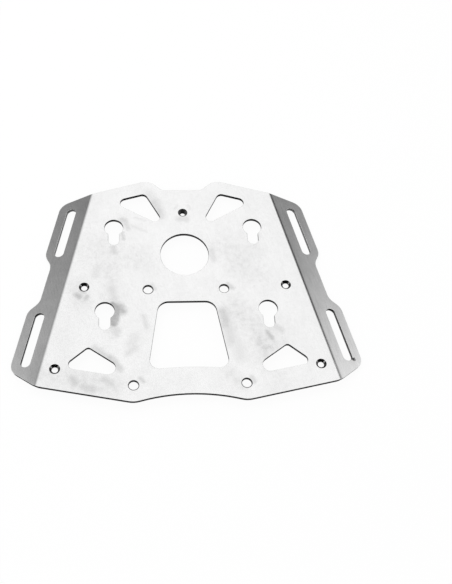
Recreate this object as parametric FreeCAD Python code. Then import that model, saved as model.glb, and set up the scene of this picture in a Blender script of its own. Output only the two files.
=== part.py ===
"""Mounting plate for a top case: one laser-cut aluminium sheet with a wing folded down at each side.

Millimetres. The origin is the centre of the large hole on the top face, +Z is up,
+Y points to the rear and +X to the right. The plate is the same left and right.
The outline and the cut-outs are drawn flat, to the outer mould line of the two folds,
so a length along a wing is the length that a rule laid on its top face would read.
"""
import FreeCAD, Part
import math
import os

V = FreeCAD.Vector
UP = V(0, 0, 1)

# Sheet and folds
sheet_thickness = 3.0
wing_angle = 15.0
fold_inner_radius = 10.0
fold_rake = 13.0
fold_x = 99.6

# Rear edge
rear_flat_y = 71.7
rear_flat_half_width = 18.6
rear_flat_radius = 8.0
rear_crest_x = 30.8
rear_crest_y = 82.7
rear_crest_radius = 14.0
rear_slope = 16.0

# Front edge
front_crest_x = 47.3
front_crest_y = -144.5
front_crest_radius = 20.0
front_slope = 11.4
front_arch_slope = 15.0
front_arch_radius = 165.0
front_corner_radius = 22.0

# Wings: widths outward from the fold, and places forward of the origin along it
lobe_width = 27.0
waist_width = 18.5
waist_slope = 40.0
wing_corner_radius = 12.0
rear_lobe_end = 2.3
front_lobe_start = 61.0
front_lobe_end = 119.0

# Strap slots in the wings
strap_slot_width = 9.0
strap_slot_length = 53.0
strap_slot_out = 14.6
rear_strap_slot = -24.0
front_strap_slot = 88.1

# Centre hole
centre_hole_diameter = 44.0

# Plain holes for the case's screws, deburred on both faces
case_hole_diameter = 8.4
case_hole_deburr = 0.25
rear_case_hole_x = 33.8
rear_case_hole_y = -36.5
front_case_hole_x = 47.7
front_case_hole_y = -129.0

# Countersunk holes
sunk_hole_diameter = 5.5
sunk_hole_mouth = 9.2
rear_sunk_hole_x = 89.8
rear_sunk_hole_y = -33.4
front_sunk_hole_x = 113.3
front_sunk_hole_y = -112.6

# Tapped hole with a collar drawn down out of the sheet
tapped_hole_y = 45.7
tapped_hole_diameter = 5.0
tapped_hole_mouth = 8.8
tapped_collar_wall = 1.7
tapped_collar_height = 2.2

# Keyholes
keyhole_diameter = 17.2
keyhole_slot_width = 10.0
keyhole_slot_reach = 18.85
rear_keyhole_x = 63.8
rear_keyhole_y = 29.4
front_keyhole_x = 71.8
front_keyhole_y = -57.5

# Centre window
window_rear_half_width = 24.7
window_rear_y = -49.1
window_rear_radius = 10.0
window_front_half_width = 35.3
window_front_y = -114.9
window_front_radius = 8.0
window_arch_slope = 4.2
window_arch_radius = 280.0

# Three-cornered windows: the place and the radius of each corner
rear_window_corners = [(34.6, 67.5, 5.0), (65.9, 58.4, 5.3), (14.4, 28.5, 4.7)]
front_window_corners = [(85.8, -92.4, 3.6), (108.0, -111.1, 4.7), (41.6, -123.9, 6.3)]

wing_tilt = math.radians(wing_angle)
rake = math.radians(fold_rake)
fold_outer_radius = fold_inner_radius + sheet_thickness
fold_setback = fold_outer_radius * math.tan(wing_tilt / 2)
along_fold = V(math.sin(rake), -math.cos(rake), 0)
outward = V(math.cos(rake), math.sin(rake), 0)
fold_origin = V(fold_x, 0, 0)

# How far cutters reach past what they cut
reach_past = 10.0
knife_margin = 0.05


def on_wing(forward, out):
    """The place in the flat of a point on the right wing."""
    return fold_origin + along_fold * forward + outward * out


def across_fold(point, slope, out):
    """Where a line that leaves a point of the plate at a slope lies a distance outward of the right fold."""
    direction = V(math.cos(math.radians(slope)), math.sin(math.radians(slope)), 0)
    distance = (out - (point - fold_origin).dot(outward)) / direction.dot(outward)
    return point + direction * distance


def rounded(corners):
    """A closed wire through corners given as (place, radius), each rounded by a tangent arc."""
    arcs = []
    for i, (corner, radius) in enumerate(corners):
        before = (corners[i - 1][0] - corner).normalize()
        after = (corners[(i + 1) % len(corners)][0] - corner).normalize()
        half_angle = before.getAngle(after) / 2
        tangent_length = radius / math.tan(half_angle)
        crown_depth = radius / math.sin(half_angle) - radius
        crown = corner + (before + after).normalize() * crown_depth
        arcs.append((corner + before * tangent_length, crown, corner + after * tangent_length))
    edges = []
    for arc, next_arc in zip(arcs, arcs[1:] + arcs[:1]):
        edges.append(Part.Arc(*arc).toShape())
        edges.append(Part.LineSegment(arc[2], next_arc[0]).toShape())
    return Part.Wire(edges)


def slab(wire, thickness):
    """The solid that a flat wire outlines, down from the top face."""
    return Part.Face(wire).extrude(-UP * thickness)


def mirrored(shape):
    """The same shape on the other side of the plate."""
    return shape.mirror(V(0, 0, 0), V(1, 0, 0))


def cutter(wire):
    """A cutter of a wire's outline right through the sheet."""
    tool = slab(wire, sheet_thickness + 2 * reach_past)
    tool.translate(UP * reach_past)
    return tool


def drill(x, y, diameter):
    """A round cutter right through the sheet."""
    return cutter(Part.Wire(Part.makeCircle(diameter / 2, V(x, y, 0))))


def sink(x, y, mouth, diameter, face_z=0.0, into=-UP):
    """A conical cutter at right angles that widens a hole from its diameter to a mouth at a face."""
    depth = (mouth - diameter) / 2
    above = depth + 1
    return Part.makeCone(mouth / 2 + 1, diameter / 2, above, V(x, y, face_z) - into, into)


def plate_outline():
    """The outline of the flat blank, from the rear flat round the right wing and back on the left."""
    rear_crest = V(rear_crest_x, rear_crest_y, 0)
    front_crest = V(front_crest_x, front_crest_y, 0)
    waist_run = (lobe_width - waist_width) / math.tan(math.radians(waist_slope))
    right = [
        (V(rear_flat_half_width, rear_flat_y, 0), rear_flat_radius),
        (rear_crest, rear_crest_radius),
        (across_fold(rear_crest, -rear_slope, lobe_width), wing_corner_radius),
        (on_wing(rear_lobe_end, lobe_width), wing_corner_radius),
        (on_wing(rear_lobe_end + waist_run, waist_width), wing_corner_radius),
        (on_wing(front_lobe_start - waist_run, waist_width), wing_corner_radius),
        (on_wing(front_lobe_start, lobe_width), wing_corner_radius),
        (on_wing(front_lobe_end, lobe_width), wing_corner_radius),
        (across_fold(front_crest, front_slope, 0), front_corner_radius),
        (front_crest, front_crest_radius),
    ]
    arch_top = front_crest_y + front_crest_x * math.tan(math.radians(front_arch_slope))
    left = [(V(-place.x, place.y, 0), radius) for place, radius in reversed(right)]
    return rounded(right + [(V(0, arch_top, 0), front_arch_radius)] + left)


def centre_window():
    """The wide window ahead of the centre hole, whose front edge bows gently towards it."""
    rear = V(window_rear_half_width, window_rear_y, 0)
    front = V(window_front_half_width, window_front_y, 0)
    bow = window_front_half_width * math.tan(math.radians(window_arch_slope))
    right = [(rear, window_rear_radius), (front, window_front_radius)]
    left = [(V(-place.x, place.y, 0), radius) for place, radius in reversed(right)]
    return cutter(rounded(right + [(V(0, window_front_y + bow, 0), window_arch_radius)] + left))


def corner_window(corners):
    """A three-cornered window."""
    return cutter(rounded([(V(x, y, 0), radius) for x, y, radius in corners]))


def obround(start, end, width):
    """A slot cutter with round ends, centred on the line between two places."""
    along = (end - start).normalize() * (width / 2)
    across = UP.cross(along)
    edges = [
        Part.Arc(end - across, end + along, end + across).toShape(),
        Part.LineSegment(end + across, start + across).toShape(),
        Part.Arc(start + across, start - along, start - across).toShape(),
        Part.LineSegment(start - across, end - across).toShape(),
    ]
    return cutter(Part.Wire(edges))


def keyhole(x, y):
    """A round hole that narrows to a slot towards the front."""
    slot_end = V(x, y - keyhole_slot_reach + keyhole_slot_width / 2, 0)
    return drill(x, y, keyhole_diameter).fuse(obround(V(x, y, 0), slot_end, keyhole_slot_width))


def strap_slot(forward):
    """A slot along the right wing for a strap."""
    half_run = (strap_slot_length - strap_slot_width) / 2
    start = on_wing(forward - half_run, strap_slot_out)
    end = on_wing(forward + half_run, strap_slot_out)
    return obround(start, end, strap_slot_width)


def case_hole(x, y):
    """A plain hole with its rim broken on both faces."""
    mouth = case_hole_diameter + 2 * case_hole_deburr
    top_rim = sink(x, y, mouth, case_hole_diameter)
    bottom_rim = sink(x, y, mouth, case_hole_diameter, -sheet_thickness, UP)
    return drill(x, y, case_hole_diameter).fuse([top_rim, bottom_rim])


def sunk_hole(x, y):
    """A hole countersunk from the top face."""
    return drill(x, y, sunk_hole_diameter).fuse(sink(x, y, sunk_hole_mouth, sunk_hole_diameter))


def flat_blank():
    """The sheet as it is cut, before its wings are folded."""
    right_cutters = [
        keyhole(rear_keyhole_x, rear_keyhole_y),
        keyhole(front_keyhole_x, front_keyhole_y),
        strap_slot(rear_strap_slot),
        strap_slot(front_strap_slot),
        case_hole(rear_case_hole_x, rear_case_hole_y),
        case_hole(front_case_hole_x, front_case_hole_y),
        sunk_hole(rear_sunk_hole_x, rear_sunk_hole_y),
        sunk_hole(front_sunk_hole_x, front_sunk_hole_y),
        corner_window(rear_window_corners),
        corner_window(front_window_corners),
    ]
    left_cutters = [mirrored(tool) for tool in right_cutters]
    middle_cutters = [drill(0, 0, centre_hole_diameter), centre_window()]
    return slab(plate_outline(), sheet_thickness).cut(right_cutters + left_cutters + middle_cutters)


def tapped_hole(sheet):
    """The sheet with a hole drawn down at the rear, which gives its thread more than the sheet's depth."""
    collar_radius = tapped_hole_diameter / 2 + tapped_collar_wall
    depth = sheet_thickness + tapped_collar_height
    collar = Part.makeCylinder(collar_radius, depth, V(0, tapped_hole_y, -depth), UP)
    mouth = sink(0, tapped_hole_y, tapped_hole_mouth, tapped_hole_diameter)
    return sheet.fuse(collar).cut([drill(0, tapped_hole_y, tapped_hole_diameter), mouth])


def wing_zone(start):
    """All that lies further outward than a distance from the right fold, in the flat."""
    far = 2 * (fold_x + lobe_width)
    corners = [on_wing(-far, start), on_wing(-far, far), on_wing(far, far), on_wing(far, start)]
    return cutter(Part.makePolygon(corners + corners[:1]))


def fold_span(solid, out):
    """How far forward a solid's cut face on a line beside the right fold starts and ends."""
    places = [vertex.Point - fold_origin for vertex in solid.Vertexes]
    forward = [place.dot(along_fold) for place in places if abs(place.dot(outward) - out) < 1e-4]
    return min(forward), max(forward)


def fold_point(forward, angle, radius):
    """A place in the right fold, at an angle about the fold's axis and a radius from it."""
    axis = on_wing(forward, -fold_setback) - UP * fold_outer_radius
    return axis + (UP * math.cos(angle) + outward * math.sin(angle)) * radius


def fold_strip(plate_span, wing_span):
    """The bent strip between the plate and the right wing, each end cut from one edge to the other."""
    first = min(plate_span[0], wing_span[0]) - reach_past
    last = max(plate_span[1], wing_span[1]) + reach_past
    outer = [fold_point(first, wing_tilt * share, fold_outer_radius) for share in (0, 0.5, 1)]
    inner = [fold_point(first, wing_tilt * share, fold_inner_radius) for share in (1, 0.5, 0)]
    section = Part.Wire([
        Part.Arc(*outer).toShape(),
        Part.LineSegment(outer[2], inner[0]).toShape(),
        Part.Arc(*inner).toShape(),
        Part.LineSegment(inner[2], outer[0]).toShape(),
    ])
    strip = Part.Face(section).extrude(along_fold * (last - first))
    low_radius = fold_inner_radius - knife_margin
    high_radius = fold_outer_radius / math.cos(wing_tilt / 2) + knife_margin
    for at_plate, at_wing, away in zip(plate_span, wing_span, (-1, 1)):
        end_lines = []
        for forward, angle in ((at_plate, 0), (at_wing, wing_tilt)):
            low = fold_point(forward, angle, low_radius)
            high = fold_point(forward, angle, high_radius)
            end_lines.append(Part.LineSegment(low, high).toShape())
        end_face = Part.makeRuledSurface(*end_lines)
        strip = strip.cut(end_face.extrude(along_fold * away * 2 * reach_past))
    return strip


def folded(blank):
    """The blank with both wings folded down."""
    outside = wing_zone(-fold_setback)
    plate = blank.cut([outside, mirrored(outside)])
    wing = blank.common(wing_zone(fold_setback))
    strip = fold_strip(fold_span(plate, -fold_setback), fold_span(wing, fold_setback))
    wing.rotate(fold_origin, along_fold, -wing_angle)
    return plate.fuse([strip, wing, mirrored(strip), mirrored(wing)]).removeSplitter()


mounting_plate = tapped_hole(folded(flat_blank()))
os.makedirs("parts", exist_ok=True)
mounting_plate.exportStep("parts/mounting_plate.step")
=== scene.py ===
import math

import bmesh
import bpy
from mathutils import Matrix, Vector


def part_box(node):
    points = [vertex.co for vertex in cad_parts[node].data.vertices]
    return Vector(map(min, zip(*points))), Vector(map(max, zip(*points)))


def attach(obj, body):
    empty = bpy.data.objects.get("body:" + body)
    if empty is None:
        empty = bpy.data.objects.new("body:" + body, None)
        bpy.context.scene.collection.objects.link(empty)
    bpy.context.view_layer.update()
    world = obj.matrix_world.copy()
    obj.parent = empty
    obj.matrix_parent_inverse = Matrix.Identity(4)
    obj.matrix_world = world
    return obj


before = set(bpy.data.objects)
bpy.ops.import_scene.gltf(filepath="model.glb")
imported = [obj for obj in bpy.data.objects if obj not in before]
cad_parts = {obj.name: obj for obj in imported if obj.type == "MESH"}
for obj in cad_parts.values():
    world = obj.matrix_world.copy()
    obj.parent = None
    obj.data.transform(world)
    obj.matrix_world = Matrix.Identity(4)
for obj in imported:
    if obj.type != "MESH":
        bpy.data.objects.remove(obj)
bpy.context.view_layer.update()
MM = 0.001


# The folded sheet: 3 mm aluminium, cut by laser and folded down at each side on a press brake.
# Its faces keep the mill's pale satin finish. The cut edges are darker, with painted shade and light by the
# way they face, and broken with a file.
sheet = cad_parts["mounting_plate"]


class Signal:
    """A socket of a node tree that takes part in sums, products and powers as a number does."""

    def __init__(self, socket):
        self.socket = socket
        self.tree = socket.id_data

    def node(self, kind, sockets, output=0, **settings):
        """Adds a node of any kind: its settings are set first, then the values or links of its sockets."""
        added = self.tree.nodes.new(kind)
        for setting, value in settings.items():
            setattr(added, setting, value)
        for name, value in sockets.items():
            if isinstance(value, Signal):
                self.tree.links.new(value.socket, added.inputs[name])
            else:
                added.inputs[name].default_value = value
        return Signal(added.outputs[output])

    def maths(self, operation, *values):
        return self.node("ShaderNodeMath", dict(enumerate(values)), operation=operation)

    def __add__(self, other):
        return self.maths("ADD", self, other)

    __radd__ = __add__

    def __sub__(self, other):
        return self.maths("SUBTRACT", self, other)

    def __rsub__(self, other):
        return self.maths("SUBTRACT", other, self)

    def __mul__(self, other):
        return self.maths("MULTIPLY", self, other)

    __rmul__ = __mul__

    def __truediv__(self, other):
        return self.maths("DIVIDE", self, other)

    def __pow__(self, power):
        return self.maths("POWER", self, power)

    def __abs__(self):
        return self.maths("ABSOLUTE", self)

    def at_least(self, other):
        return self.maths("MAXIMUM", self, other)

    def at_most(self, other):
        return self.maths("MINIMUM", self, other)

    def rise(self, start, end):
        """Climbs smoothly from 0 at start to 1 at end."""
        limits = {"Value": self, "From Min": start, "From Max": end}
        return self.node("ShaderNodeMapRange", limits, interpolation_type="SMOOTHSTEP")

    def blend(self, low, high):
        """Runs from low to high as this goes from 0 to 1."""
        return low + self * (high - low)


# Filing takes 0.22 mm off every edge that turns by more than 50 degrees
edge_break = 0.22
broken_turn = math.radians(50)

weld = sheet.modifiers.new("one_skin", "WELD")
weld.merge_threshold = 0.001 * MM

broken_edge = sheet.modifiers.new("broken_edges", "BEVEL")
broken_edge.width = edge_break * MM
broken_edge.segments = 3
broken_edge.limit_method = "ANGLE"
broken_edge.angle_limit = broken_turn
broken_edge.use_clamp_overlap = True
broken_edge.miter_outer = "MITER_ARC"

# The rims of the countersinks stay crisp, and everything else runs smoothly into its neighbour
crisp_turn = math.radians(40)
rim_nodes = bpy.data.node_groups.new("crisp_rims", "GeometryNodeTree")
rim_nodes.interface.new_socket("Geometry", in_out="INPUT", socket_type="NodeSocketGeometry")
rim_nodes.interface.new_socket("Geometry", in_out="OUTPUT", socket_type="NodeSocketGeometry")
skin = Signal(rim_nodes.nodes.new("NodeGroupInput").outputs["Geometry"])
edge_angle = skin.node("GeometryNodeInputMeshEdgeAngle", {}, output="Unsigned Angle")
steep = edge_angle.maths("GREATER_THAN", edge_angle, crisp_turn)
smooth = {"Geometry": skin, "Shade Smooth": True}
smooth = {"Geometry": skin.node("GeometryNodeSetShadeSmooth", smooth, domain="FACE"), "Shade Smooth": True}
smoothed = skin.node("GeometryNodeSetShadeSmooth", smooth, domain="EDGE")
crisp = {"Geometry": smoothed, "Selection": steep, "Shade Smooth": False}
finished = skin.node("GeometryNodeSetShadeSmooth", crisp, domain="EDGE")
rim_nodes.links.new(finished.socket, rim_nodes.nodes.new("NodeGroupOutput").inputs["Geometry"])
crisp_rims = sheet.modifiers.new("crisp_rims", "NODES")
crisp_rims.node_group = rim_nodes

even_shading = sheet.modifiers.new("even_shading", "WEIGHTED_NORMAL")
even_shading.weight = 100
even_shading.keep_sharp = True


def new_material(name):
    """An empty material with its Principled shader, and a signal to build from."""
    material = bpy.data.materials.new(name)
    material.use_nodes = True
    shader = material.node_tree.nodes["Principled BSDF"]
    return material, shader, Signal(shader.outputs["BSDF"])


def feed(shader, **inputs):
    """Links signals to a shader's sockets, or sets plain values on them."""
    for name, value in inputs.items():
        socket = shader.inputs[name.replace("_", " ")]
        if isinstance(value, Signal):
            shader.id_data.links.new(value.socket, socket)
        else:
            socket.default_value = value


# A place on the sheet in millimetres, and how far the surface there faces up or down, and to the front.
# Cut faces are the steep ones. A broken edge at the front counts as cut a little sooner, so it takes their
# grey as painted shade.
finish, metal, satin = new_material("satin_aluminium")
coordinates = satin.node("ShaderNodeTexCoord", {}, output="Object")
split = coordinates.node("ShaderNodeSeparateXYZ", {"Vector": coordinates}, output="X")
x = split / MM
y = Signal(split.socket.node.outputs["Y"]) / MM
z = Signal(split.socket.node.outputs["Z"]) / MM
facing = satin.node("ShaderNodeNewGeometry", {}, output="True Normal")
upright = abs(facing.node("ShaderNodeSeparateXYZ", {"Vector": facing}, output="Z"))
forward = 0 - facing.node("ShaderNodeSeparateXYZ", {"Vector": facing}, output="Y")
cut_face = 1 - (upright - forward.rise(0.1, 0.3) * 0.2).rise(0.80, 0.825)

# Each fold is raked 13 degrees to the sheet's middle line, and passes the large hole at 99.6 mm
fold_rake = math.radians(13)
fold_x = 99.6
past_fold = abs(x) * math.cos(fold_rake) + y * math.sin(fold_rake) - fold_x * math.cos(fold_rake)
on_wing = past_fold.rise(-1, 2)


def noise(place_x, place_y, place_z, detail=2.0):
    """Uneven from 0 to 1, over about one millimetre of the places that it is given."""
    place = satin.node("ShaderNodeCombineXYZ", {"X": place_x, "Y": place_y, "Z": place_z})
    grain = {"Vector": place, "Scale": 1.0, "Detail": detail, "Roughness": 0.6}
    return place.node("ShaderNodeTexNoise", grain)


# Rolling and brushing have left fine lines, which lean a little and are plainest on the wings
line_lean = math.radians(14)
across_lines = x * math.cos(line_lean) + y * math.sin(line_lean)
along_lines = y * math.cos(line_lean) - x * math.sin(line_lean)
lines = noise(across_lines * 0.75, along_lines * 0.07, z * 0.75)
fine_lines = noise(across_lines * 4.0, along_lines * 0.2, z * 4.0)
line_depth = on_wing.blend(0.06, 0.24)
fine_line_depth = 0.12

# The pale finish is clouded, mottled and, most of all towards the front left, speckled
clouds = noise(x * 0.045, y * 0.03, z * 0.1, detail=3.0).rise(0.3, 0.7)
mottle = noise(x * 0.22, y * 0.20, z * 0.2, detail=3.0).rise(0.35, 0.75)
specks = noise(x * 0.7, y * 0.55, z * 0.6, detail=3.0).rise(0.3, 0.7)
speck_depth = (0 - x - y * 0.8).rise(-20, 150).blend(0.02, 0.06)
paleness = clouds.blend(0.91, 0.96) - mottle * 0.03 - specks * speck_depth
paleness = paleness + (lines - 0.5) * line_depth + (fine_lines - 0.5) * fine_line_depth


def vector_maths(operation, *values, output="Vector", **sockets):
    """A Vector Math node; plain triples stand for places and directions."""
    sockets.update(enumerate(values))
    return satin.node("ShaderNodeVectorMath", sockets, operation=operation, output=output)


# Grime from handling, and round the tapped hole some painted shade: strokes with ragged sides, each as (from
# x, from y, to x, to y, reach, darkness)
marks = [
    # Beside the front left keyhole
    (-65, -52, -62, -54, 5, 0.52), (-62, -54, -61, -58, 6.5, 0.55), (-62, -58, -64, -69, 6.5, 0.58),
    (-60, -54, -57, -58, 8, 0.38), (-66, -36, -63, -46, 7, 0.10), (-66, -70, -61, -78, 7, 0.12),
    (-62, -78, -61, -81, 4, 0.11),
    # Between that keyhole and the wide window
    (-38, -64, -36, -74, 4, 0.12), (-46, -84, -50, -91, 8, 0.08), (-52, -99, -46, -93, 6, 0.12),
    # Along the front left three-cornered window, and between it and the front edge
    (-80, -94, -69, -103, 6, 0.17), (-68, -103, -59, -113, 6, 0.23), (-98, -122, -96, -126, 6, 0.16),
    (-90, -130, -82, -132, 6, 0.15), (-72, -123, -66, -127, 6, 0.12),
    # In front of the rear left countersink
    (-96, -42, -94, -43, 5, 0.26), (-88, -45, -87, -43, 4, 0.20), (-93, -38, -90, -39, 3, 0.16),
    # Beside and in front of the rear left keyhole
    (-56, 38, -53, 36, 5, 0.18), (-54, 36, -51, 29, 5, 0.14), (-51, 33, -34, 25, 3, 0.08),
    (-45, 40, -35, 37, 2.5, 0.07), (-56, 24, -55, 17, 3, 0.18), (-64, 8, -63, 3, 5, 0.14),
    (-78, -12, -80, -22, 6, 0.09),
    # Along the rear left three-cornered window
    (-31, 66, -26, 55, 9, 0.10), (-26, 58, -21, 43, 9, 0.18),
    # Round the tapped hole, partly grime and partly painted shade, darkest in front of it; and one beside
    # the large hole
    (-3, 39, 3, 39, 6, 0.15), (-7, 50, -5, 53, 3, 0.07), (5, 53, 7, 50, 3, 0.07), (25, 4, 26, -6, 5, 0.10),
    # Along the right side of the wide window
    (31, -60, 33, -74, 8, 0.22), (34, -74, 37, -90, 10, 0.15), (42, -92, 44, -104, 10, 0.10),
    # Between the front right keyhole and the three-cornered window
    (61, -93, 62, -87, 3.5, 0.10), (69, -81, 73, -87, 3.5, 0.20), (64, -96, 70, -95, 3.5, 0.08),
    (78, -76, 82, -80, 5, 0.12),
    # Beside the plain holes
    (-42, -123, -40, -126, 4, 0.20), (52, -124, 54, -128, 4, 0.18), (38, -32, 41, -36, 4, 0.20),
    (-30, -32, -28, -36, 4, 0.14),
    # On the left wing
    (-125, -92, -132, -122, 7, 0.13),
]
# Wide pale grey patches, in the same form
patches = [
    (-74, 6, -46, -4, 28, 0.05), (38, 4, 60, -20, 26, 0.07), (-68, -16, -66, -80, 13, 0.06),
    (34, -118, 44, -132, 9, 0.08), (-96, -34, -92, -48, 16, 0.07), (46, -60, 66, -96, 24, 0.08),
    (-118, -118, -64, -130, 18, 0.08), (26, -30, 44, -60, 14, 0.03), (72, -72, 76, -128, 24, 0.05),
    (62, 30, 66, 4, 14, 0.05),
]
sway_reach = 2
flat_place = satin.node("ShaderNodeCombineXYZ", {"X": x, "Y": y})
sway = satin.node("ShaderNodeTexNoise", {"Vector": flat_place, "Scale": 0.14, "Detail": 2.0}, output="Color")
ragged_place = vector_maths("MULTIPLY_ADD", sway, (2 * sway_reach, 2 * sway_reach, 0), flat_place)
ragged_place = vector_maths("SUBTRACT", ragged_place, (sway_reach, sway_reach, 0))


def stroke(from_x, from_y, to_x, to_y, reach, darkness):
    """The darkness along a straight stroke on the sheet, which fades to 0 at its reach in millimetres."""
    run = Vector((to_x - from_x, to_y - from_y, 0.0))
    offset = vector_maths("SUBTRACT", ragged_place, (from_x, from_y, 0.0))
    along = vector_maths("DOT_PRODUCT", offset, run / run.length_squared, output="Value")
    nearest = vector_maths("SCALE", run, Scale=along.at_least(0).at_most(1))
    distance = vector_maths("DISTANCE", offset, nearest, output="Value")
    fading = {"Value": distance, "From Max": reach, "To Min": darkness, "To Max": 0.0}
    return distance.node("ShaderNodeMapRange", fading, interpolation_type="SMOOTHSTEP")


grime_and_painted_shade = stroke(*marks[0])
for mark in marks[1:]:
    grime_and_painted_shade = grime_and_painted_shade.at_least(stroke(*mark))
grey_patches = stroke(*patches[0])
for patch in patches[1:]:
    grey_patches = grey_patches + stroke(*patch)
darkest_mark = 0.38
grime_and_painted_shade = grime_and_painted_shade.at_most(darkest_mark) * mottle.blend(1.15, 0.75) + grey_patches * mottle.blend(0.7, 1.5)


def hole_distance(hole_x, hole_y):
    """How far a place is from the middle of the nearer of two holes, one at each side."""
    off_x, off_y = abs(x) - hole_x, y - hole_y
    return (off_x * off_x + off_y * off_y) ** 0.5


# A thin line of painted shade round each plain hole, wider at its front.
# Each pair of holes is (x, y, how much wider at the left hole, how much wider at the right one).
plain_holes = [(33.8, -36.5, 0.33, 0.06), (47.7, -129.0, 0.22, 0.24)]
rim_radius = 4.63
rim_painted_shade = 0
for hole_x, hole_y, left_extra, right_extra in plain_holes:
    distance = hole_distance(hole_x, hole_y)
    at_front = (hole_y - y).rise(-3, 2)
    rim = rim_radius + at_front * x.rise(-1, 1).blend(left_extra, right_extra)
    rim_painted_shade = rim_painted_shade + distance.rise(4.1, 4.25) * (1 - distance.rise(rim - 0.1, rim + 0.1))

# In the countersinks, a painted highlight at each side and painted shade on the far side of each cone
countersinks = [(89.8, -33.4), (113.3, -112.6)]
in_cone = 0
for hole_x, hole_y in countersinks:
    in_cone = in_cone + 1 - hole_distance(hole_x, hole_y).rise(4.5, 4.7)
# A painted highlight at each side of a cone, and painted shade on its far side
painted_glint = in_cone * forward.rise(0.28, 0.36) * (1 - forward.rise(0.44, 0.52))
cone_painted_shade_and_glint = forward.rise(0.45, 0.62).blend(0.035, 0.004) + painted_glint * 0.35

# The laser has burnt a small ragged spot where it left the front right slot
burn = (1 - (hole_distance(143.1, -106.5) + specks).rise(1.4, 2.9)) * x.rise(0, 1)

# Cut faces carry the laser's upright lines. Their grey has painted shade, darkest towards the front,
# and painted light, paler towards the rear, in the rear slots and round the front end of the right wing.
laser_lines = noise((x + y) * 2.4, (x - y) * 2.4, z * 0.12)
rear_slot_painted_light = abs(x).rise(95, 103) * y.rise(-24, -4)
wing_end_painted_light = x.rise(127, 133) * (0 - y).rise(95, 106) * forward.rise(0.1, 0.6)
edge_grey_and_painted_shade = laser_lines.blend(0.6, 1.4) * forward.rise(0.25, 0.75).blend(0.09, 0.02)
edge_grey_and_painted_shade = edge_grey_and_painted_shade + rear_slot_painted_light * 0.12 + (0 - forward).rise(0.2, 0.6) * 0.1 + wing_end_painted_light * 0.35
edge_grey_and_painted_shade = in_cone.blend(edge_grey_and_painted_shade, cone_painted_shade_and_glint)

# The finish under grime, the burn and the painted shade round the holes; cut faces take their grey with its
# painted shade
brightness = paleness * (1 - grime_and_painted_shade) * (1 - rim_painted_shade * 0.95) * (1 - burn * 0.9)
brightness = cut_face.blend(brightness, edge_grey_and_painted_shade)
colour = satin.node("ShaderNodeCombineColor", {"Red": brightness, "Green": brightness, "Blue": brightness})
dullness = 0.15 + grime_and_painted_shade * 0.25 + (clouds - 0.5) * 0.03 + burn * 0.3
relief = (lines - 0.5) * 0.006 + (fine_lines - 0.5) * 0.002 - burn * 0.15 + cut_face * laser_lines * 0.03
relief = satin.node("ShaderNodeBump", {"Height": relief, "Strength": 1.0, "Distance": MM})
metallic = cut_face.blend(1.0, 0.35)
roughness = cut_face.blend(dullness, 0.5)
feed(metal, Base_Color=colour, Metallic=metallic, Roughness=roughness, Normal=relief)
metal.inputs["Specular IOR Level"].default_value = 0.0

sheet.material_slots[0].material = finish


# The thread in the drawn hole at the rear: M6 by 1, cut with a tap down through the collar.
# Its ridge winds round the bore, a little sunk into the wall, and fades out over a quarter turn at each end.
thread_mesh = bpy.data.meshes.new("tapped_thread")
thread = bpy.data.objects.new("tapped_thread", thread_mesh)
bpy.context.scene.collection.objects.link(thread)
thread_centre = Vector((0.0, 45.7, 0.0))
bore_radius = 2.5
ridge_height = 0.3
root_radius = bore_radius + 0.05
half_crest, half_root = 0.06, 0.42
thread_pitch = 1.0
thread_bottom, thread_top = -4.9, -2.3
steps_a_turn = 48
steps = round((thread_top - thread_bottom) / thread_pitch * steps_a_turn)
rings = []
cutter = bmesh.new()
for step in range(steps + 1):
    angle = 2 * math.pi * step / steps_a_turn
    fade = min(1.0, 4 * min(step, steps - step) / steps_a_turn + 0.02)
    level = thread_bottom + thread_pitch * step / steps_a_turn
    outward = Vector((math.cos(angle), math.sin(angle), 0.0))
    crest = bore_radius - ridge_height * fade
    profile = [(root_radius, -half_root * fade), (crest, -half_crest * fade),
               (crest, half_crest * fade), (root_radius, half_root * fade)]
    rings.append([cutter.verts.new((thread_centre + outward * radius + Vector((0, 0, level + rise))) * MM)
                  for radius, rise in profile])
for ring, following in zip(rings, rings[1:]):
    for side in range(4):
        corner = (side + 1) % 4
        cutter.faces.new((ring[side], following[side], following[corner], ring[corner]))
cutter.faces.new(rings[0])
cutter.faces.new(reversed(rings[-1]))
bmesh.ops.recalc_face_normals(cutter, faces=cutter.faces)
cutter.to_mesh(thread_mesh)
cutter.free()
thread_mesh.materials.append(finish)
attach(thread, "root")


# The floor: a wide sheet of plain white paper, on which the plate lies with its four folded lobes.
# It looks white from everywhere and keeps a little of the plate's shadow.
paper_size = 12.0
shade_kept = 0.08
bpy.ops.mesh.primitive_plane_add(size=paper_size, location=(0, 0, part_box("mounting_plate")[0].z))
floor = bpy.context.object
floor.name = "floor"
paper, paper_shader, matt = new_material("white_paper")
feed(paper_shader, Base_Color=(0.95, 0.95, 0.95, 1), Roughness=1.0)
paper_shader.inputs["Specular IOR Level"].default_value = 0.0


def seen_directly(signal):
    """1 for rays of the camera, and for those that metal or glass sends on."""
    kinds = [signal.node("ShaderNodeLightPath", {}, output=ray) for ray in
             ("Is Camera Ray", "Is Glossy Ray", "Is Transmission Ray")]
    return kinds[0].at_least(kinds[1]).at_least(kinds[2])


glow = matt.node("ShaderNodeEmission", {"Color": (1, 1, 1, 1), "Strength": 1.0})
shown = matt.node("ShaderNodeMixShader", {0: seen_directly(matt) * (1 - shade_kept), 1: matt, 2: glow})
paper.node_tree.links.new(shown.socket, paper.node_tree.nodes["Material Output"].inputs["Surface"])
floor.data.materials.append(paper)


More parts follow.
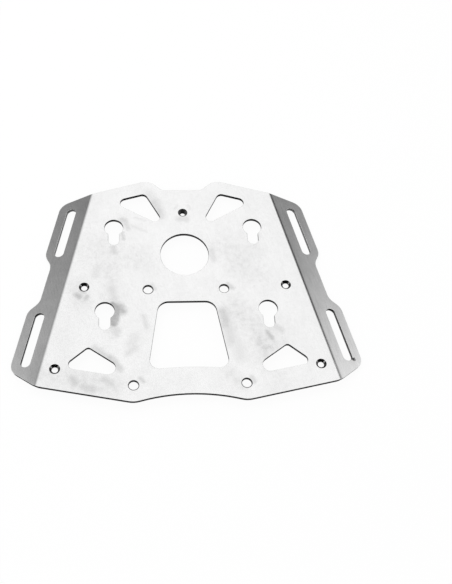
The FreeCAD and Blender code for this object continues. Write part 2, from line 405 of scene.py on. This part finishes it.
# The camera: held above the front left of the plate, 0.87 m from the large hole, and rolled a little.
# Its place, aim and lens were worked out from the plate's outline and holes.
camera_place = Vector((-49.1, -467.1, 736.2)) * MM
aim = Vector((35.3, -40.3, 0.0)) * MM
roll = math.radians(8.9)
camera = bpy.data.objects.new("camera", bpy.data.cameras.new("camera"))
bpy.context.scene.collection.objects.link(camera)
turn = (aim - camera_place).to_track_quat("-Z", "Y").to_matrix() @ Matrix.Rotation(roll, 3, "Z")
camera.matrix_world = Matrix.Translation(camera_place) @ turn.to_4x4()
camera.data.sensor_fit = "VERTICAL"
camera.data.angle = math.radians(33.80)
bpy.context.scene.camera = camera
bpy.context.scene.view_settings.view_transform = "Standard"


# The studio: a tent of white cloth all round, lit from outside, with a soft box above the rear left.
# A soft grey gap in the cloth at each side gives the folded wings their tone.
world = bpy.data.worlds.new("studio")
bpy.context.scene.world = world
world.use_nodes = True
background = world.node_tree.nodes["Background"]
cloth = Signal(background.outputs["Background"])
direction = cloth.node("ShaderNodeTexCoord", {}, output="Generated")
across = cloth.node("ShaderNodeSeparateXYZ", {"Vector": direction}, output="X")
inward = Signal(across.socket.node.outputs["Y"])
height = Signal(across.socket.node.outputs["Z"])
depth = abs(inward)
reach = abs(across) - (depth - 0.59) * 0.8

# The right gap starts beside the part that the flat sheet mirrors. The fold mirrors its near edge,
# which is darker towards the rear.
right_darkness = 0.73
past_sheet = across + (depth - 0.5) * 0.4
crease = (1 - past_sheet.rise(0.42, 0.54)) * depth.rise(0.39, 0.48).blend(-0.10, 0.22)
right_gap = right_darkness + crease - reach.rise(0.45, 0.80) * right_darkness
right_gap = past_sheet.rise(0.22, 0.32) * right_gap

# The left gap is wider and fades out slowly
left_darkness = 0.78
left_gap = (depth * 0.6 - across * 1.3).rise(0.42, 0.82) * (1 - reach.rise(0.26, 1.08)) * left_darkness

# Both are full only behind the plate and high up, and the cloth is a little darker near the floor
on_right = across.rise(-0.02, 0.02)
gap = left_gap + on_right * (right_gap - left_gap)
gap = gap * inward.rise(-0.1, 0.35).blend(0.3, 1) * height.rise(0.36, 0.54).blend(0.15, 1)
tent = height.rise(0.0, 0.78).blend(0.75, 1) - gap

# The camera itself sees plain white, and the metal mirrors the tent. All else is lit evenly.
lamp_level = 0.8
level = seen_directly(cloth).blend(lamp_level, tent.at_least(0))
camera_ray = cloth.node("ShaderNodeLightPath", {}, output="Is Camera Ray")
level = camera_ray.blend(level, 1)
feed(background, Color=(1, 1, 1, 1), Strength=level)
world.node_tree.links.new(cloth.socket, world.node_tree.nodes["World Output"].inputs["Surface"])

soft_box = bpy.data.objects.new("soft_box", bpy.data.lights.new("soft_box", "AREA"))
bpy.context.scene.collection.objects.link(soft_box)
soft_box.data.shape = "SQUARE"
soft_box.data.size = 0.9
soft_box.data.energy = 4.4
soft_box.location = (-0.35, 0.3, 1.1)
soft_box.rotation_euler = (-soft_box.location).to_track_quat("-Z", "Y").to_euler()
soft_box.visible_glossy = False
